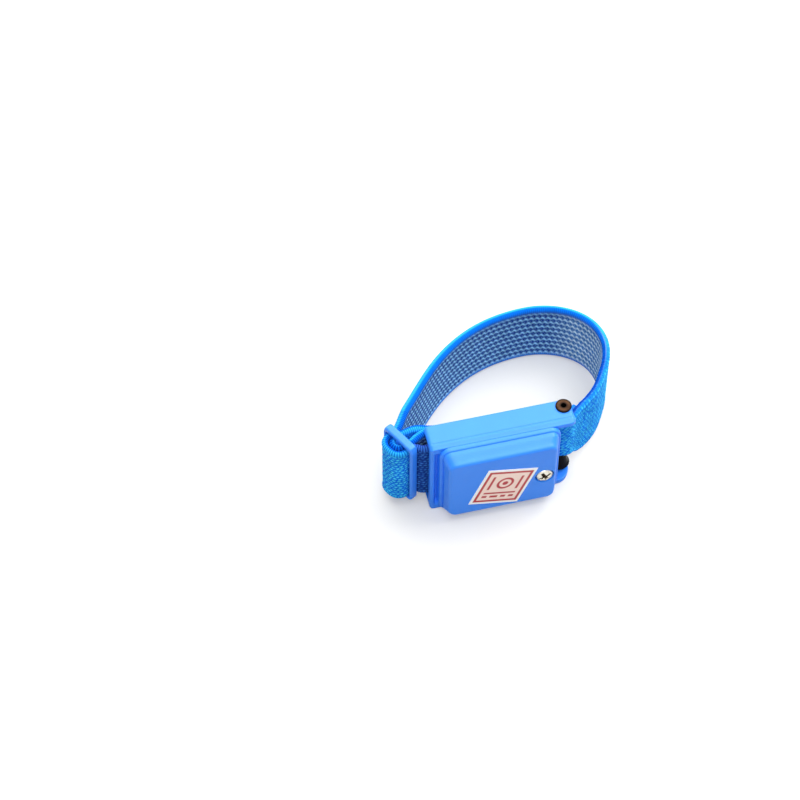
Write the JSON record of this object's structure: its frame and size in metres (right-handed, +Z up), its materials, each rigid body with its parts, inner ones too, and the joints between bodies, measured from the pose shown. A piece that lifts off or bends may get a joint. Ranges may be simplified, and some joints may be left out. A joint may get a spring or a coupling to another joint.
{
  "type": "esd wrist strap",
  "caption": "Anti-static wrist strap: elastic band on a pivot, closed by a three-bar adjuster and a slide-in steel clip, with a moulded resistor housing that has a screw terminal.",
  "frame": {"origin": "middle of the housing channel's lower end face, which the strap stands on", "axes": "+X along the housing from the clip end to the pivot end, +Y from the housing's outer face through the loop, +Z up across the band's width"},
  "size_m": [0.0649, 0.0487, 0.0269],
  "materials": {
    "blue_plastic": "satin injection-moulded",
    "adjuster_plastic": "satin injection-moulded",
    "black_plastic": "glossy",
    "label_paper": "printed self-adhesive film",
    "nickel": "nickel plated",
    "stainless": "rolled sheet",
    "brass": "bare",
    "bronze": "browned",
    "resistor_ceramic": "lacquered",
    "thread": "polyester thread",
    "elastic": "knitted elastic webbing with conductive yarn on the inside"
  },
  "bodies": {
    "housing": {"base_channel": "blue_plastic", "module_lid": "blue_plastic", "module_shell": "blue_plastic", "label": "label_paper", "terminal_screw": "nickel", "ring_terminal": "brass", "terminal_nut": "brass", "resistor": "resistor_ceramic", "resistor_leads": "nickel", "contact_leaf": "bronze", "skin_plate": "stainless", "plate_screws": "nickel", "case_screws": "nickel", "pivot_rivet": "bronze", "elastic_band": "elastic"},
    "strap_end": {"pivot_sleeve": "black_plastic", "root_stitching": "thread"},
    "clip": {"steel_clip": "stainless", "stub_stitching": "thread"},
    "adjuster": {"adjuster": "adjuster_plastic"}
  },
  "joints": [
    {"name": "strap_swing", "type": "hinge", "parent": "housing", "child": "strap_end", "pos_m": [0.017, 0.0017, 0], "axis": [0, 0, 1], "range_deg": [-15, 15], "deforming": ["elastic_band"]},
    {"name": "clip_slide", "type": "slide", "parent": "housing", "child": "clip", "axis": [-1, 0, 0], "range_m": [0, 0.01], "deforming": ["elastic_band"]},
    {"name": "adjuster_slide", "type": "slide", "parent": "clip", "child": "adjuster", "axis": [-1, 0, 0], "range_m": [-0.0015, 0.004], "deforming": ["elastic_band"]}
  ]
}
